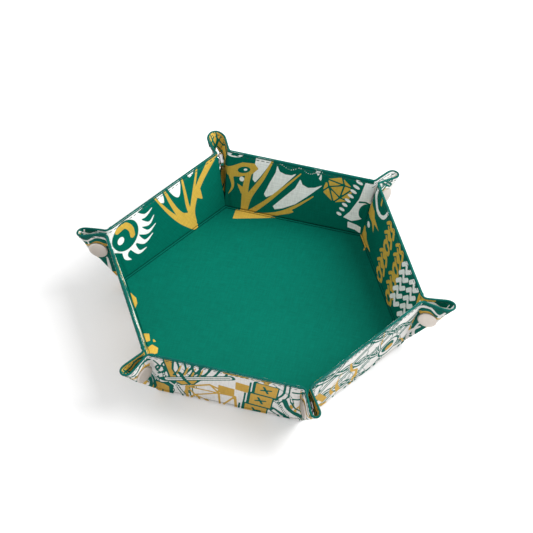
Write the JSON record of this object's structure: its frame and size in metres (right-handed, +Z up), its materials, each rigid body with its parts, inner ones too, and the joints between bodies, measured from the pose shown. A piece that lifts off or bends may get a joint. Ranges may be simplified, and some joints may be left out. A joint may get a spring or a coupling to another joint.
{
  "type": "folding dice tray",
  "caption": "Hexagonal folding dice tray with boarded cloth walls, pinched corner ears and snap fasteners; opens out flat.",
  "frame": {"origin": "centre of the floor's underside", "axes": "+Z up out of the tray, +X through a corner ear, +Y across two wall middles"},
  "size_m": [0.248, 0.2182, 0.0458],
  "materials": {
    "lining_cloth": "printed smooth woven cloth, deep green",
    "cover_cloth": "printed smooth woven cloth, white with green and gold motifs",
    "ear_cloth": "printed smooth woven cloth without board, green, white and gold",
    "rim_binding": "teal turned and stitched edge",
    "board": "plain stiffener board",
    "snap_metal": "pale nickel plated snap fastener"
  },
  "bodies": {
    "base": {"base_cover": "cover_cloth", "base_board": "board", "base_lining": "lining_cloth"},
    "wall_1": {"wall_cover_1": "cover_cloth", "wall_board_1": "board", "wall_lining_1": "lining_cloth", "rim_binding_1": "rim_binding"},
    "ear_left_1": {"ear_left_1": "ear_cloth", "snap_socket_1": "snap_metal"},
    "ear_right_1": {"ear_right_1": "ear_cloth", "snap_stud_1": "snap_metal"},
    "wall_2": {"wall_cover_2": "cover_cloth", "wall_board_2": "board", "wall_lining_2": "lining_cloth", "rim_binding_2": "rim_binding"},
    "ear_left_2": {"ear_left_2": "ear_cloth", "snap_socket_2": "snap_metal"},
    "ear_right_2": {"ear_right_2": "ear_cloth", "snap_stud_2": "snap_metal"},
    "wall_3": {"wall_cover_3": "cover_cloth", "wall_board_3": "board", "wall_lining_3": "lining_cloth", "rim_binding_3": "rim_binding"},
    "ear_left_3": {"ear_left_3": "ear_cloth", "snap_socket_3": "snap_metal"},
    "ear_right_3": {"ear_right_3": "ear_cloth", "snap_stud_3": "snap_metal"},
    "wall_4": {"wall_cover_4": "cover_cloth", "wall_board_4": "board", "wall_lining_4": "lining_cloth", "rim_binding_4": "rim_binding"},
    "ear_left_4": {"ear_left_4": "ear_cloth", "snap_socket_4": "snap_metal"},
    "ear_right_4": {"ear_right_4": "ear_cloth", "snap_stud_4": "snap_metal"},
    "wall_5": {"wall_cover_5": "cover_cloth", "wall_board_5": "board", "wall_lining_5": "lining_cloth", "rim_binding_5": "rim_binding"},
    "ear_left_5": {"ear_left_5": "ear_cloth", "snap_socket_5": "snap_metal"},
    "ear_right_5": {"ear_right_5": "ear_cloth", "snap_stud_5": "snap_metal"},
    "wall_6": {"wall_cover_6": "cover_cloth", "wall_board_6": "board", "wall_lining_6": "lining_cloth", "rim_binding_6": "rim_binding"},
    "ear_left_6": {"ear_left_6": "ear_cloth", "snap_socket_6": "snap_metal"},
    "ear_right_6": {"ear_right_6": "ear_cloth", "snap_stud_6": "snap_metal"}
  },
  "joints": [
    {"name": "wall_1_fold", "type": "hinge", "parent": "base", "child": "wall_1", "pos_m": [0.069, 0.03984, 0.0016], "axis": [-0.5, 0.866, 0], "range_deg": [0, 77]},
    {"name": "wall_2_fold", "type": "hinge", "parent": "base", "child": "wall_2", "pos_m": [0, 0.07967, 0.0016], "axis": [-1, 0, 0], "range_deg": [0, 77]},
    {"name": "wall_3_fold", "type": "hinge", "parent": "base", "child": "wall_3", "pos_m": [-0.069, 0.03984, 0.0016], "axis": [-0.5, -0.866, 0], "range_deg": [0, 77]},
    {"name": "wall_4_fold", "type": "hinge", "parent": "base", "child": "wall_4", "pos_m": [-0.069, -0.03984, 0.0016], "axis": [0.5, -0.866, 0], "range_deg": [0, 77]},
    {"name": "wall_5_fold", "type": "hinge", "parent": "base", "child": "wall_5", "pos_m": [0, -0.07967, 0.0016], "axis": [1, 0, 0], "range_deg": [0, 77]},
    {"name": "wall_6_fold", "type": "hinge", "parent": "base", "child": "wall_6", "pos_m": [0.069, -0.03984, 0.0016], "axis": [0.5, 0.866, 0], "range_deg": [0, 77]},
    {"name": "ear_left_1_fold", "type": "hinge", "parent": "wall_1", "child": "ear_left_1", "pos_m": [0.0475, 0.07707, 0.0016], "axis": [0.1288, 0.2231, 0.9663], "range_deg": [0, 60.85]},
    {"name": "ear_right_1_fold", "type": "hinge", "parent": "wall_1", "child": "ear_right_1", "pos_m": [0.0905, 0.0026, 0.0016], "axis": [-0.2576, 0, -0.9663], "range_deg": [0, 60.85]},
    {"name": "ear_left_2_fold", "type": "hinge", "parent": "wall_2", "child": "ear_left_2", "pos_m": [-0.043, 0.07967, 0.0016], "axis": [-0.1288, 0.2231, 0.9663], "range_deg": [0, 60.85]},
    {"name": "ear_right_2_fold", "type": "hinge", "parent": "wall_2", "child": "ear_right_2", "pos_m": [0.043, 0.07967, 0.0016], "axis": [-0.1288, -0.2231, -0.9663], "range_deg": [0, 60.85]},
    {"name": "ear_left_3_fold", "type": "hinge", "parent": "wall_3", "child": "ear_left_3", "pos_m": [-0.0905, 0.0026, 0.0016], "axis": [-0.2576, 0, 0.9663], "range_deg": [0, 60.85]},
    {"name": "ear_right_3_fold", "type": "hinge", "parent": "wall_3", "child": "ear_right_3", "pos_m": [-0.0475, 0.07707, 0.0016], "axis": [0.1288, -0.2231, -0.9663], "range_deg": [0, 60.85]},
    {"name": "ear_left_4_fold", "type": "hinge", "parent": "wall_4", "child": "ear_left_4", "pos_m": [-0.0475, -0.07707, 0.0016], "axis": [-0.1288, -0.2231, 0.9663], "range_deg": [0, 60.85]},
    {"name": "ear_right_4_fold", "type": "hinge", "parent": "wall_4", "child": "ear_right_4", "pos_m": [-0.0905, -0.0026, 0.0016], "axis": [0.2576, 0, -0.9663], "range_deg": [0, 60.85]},
    {"name": "ear_left_5_fold", "type": "hinge", "parent": "wall_5", "child": "ear_left_5", "pos_m": [0.043, -0.07967, 0.0016], "axis": [0.1288, -0.2231, 0.9663], "range_deg": [0, 60.85]},
    {"name": "ear_right_5_fold", "type": "hinge", "parent": "wall_5", "child": "ear_right_5", "pos_m": [-0.043, -0.07967, 0.0016], "axis": [0.1288, 0.2231, -0.9663], "range_deg": [0, 60.85]},
    {"name": "ear_left_6_fold", "type": "hinge", "parent": "wall_6", "child": "ear_left_6", "pos_m": [0.0905, -0.0026, 0.0016], "axis": [0.2576, 0, 0.9663], "range_deg": [0, 60.85]},
    {"name": "ear_right_6_fold", "type": "hinge", "parent": "wall_6", "child": "ear_right_6", "pos_m": [0.0475, -0.07707, 0.0016], "axis": [-0.1288, 0.2231, -0.9663], "range_deg": [0, 60.85]}
  ],
  "couplings": [
    {"joint": "wall_2_fold", "follows": "wall_1_fold", "ratio": 1},
    {"joint": "wall_3_fold", "follows": "wall_1_fold", "ratio": 1},
    {"joint": "wall_4_fold", "follows": "wall_1_fold", "ratio": 1},
    {"joint": "wall_5_fold", "follows": "wall_1_fold", "ratio": 1},
    {"joint": "wall_6_fold", "follows": "wall_1_fold", "ratio": 1},
    {"joint": "ear_left_1_fold", "follows": "wall_1_fold", "ratio": 0.79018},
    {"joint": "ear_right_1_fold", "follows": "wall_1_fold", "ratio": 0.79018},
    {"joint": "ear_left_2_fold", "follows": "wall_1_fold", "ratio": 0.79018},
    {"joint": "ear_right_2_fold", "follows": "wall_1_fold", "ratio": 0.79018},
    {"joint": "ear_left_3_fold", "follows": "wall_1_fold", "ratio": 0.79018},
    {"joint": "ear_right_3_fold", "follows": "wall_1_fold", "ratio": 0.79018},
    {"joint": "ear_left_4_fold", "follows": "wall_1_fold", "ratio": 0.79018},
    {"joint": "ear_right_4_fold", "follows": "wall_1_fold", "ratio": 0.79018},
    {"joint": "ear_left_5_fold", "follows": "wall_1_fold", "ratio": 0.79018},
    {"joint": "ear_right_5_fold", "follows": "wall_1_fold", "ratio": 0.79018},
    {"joint": "ear_left_6_fold", "follows": "wall_1_fold", "ratio": 0.79018},
    {"joint": "ear_right_6_fold", "follows": "wall_1_fold", "ratio": 0.79018}
  ]
}
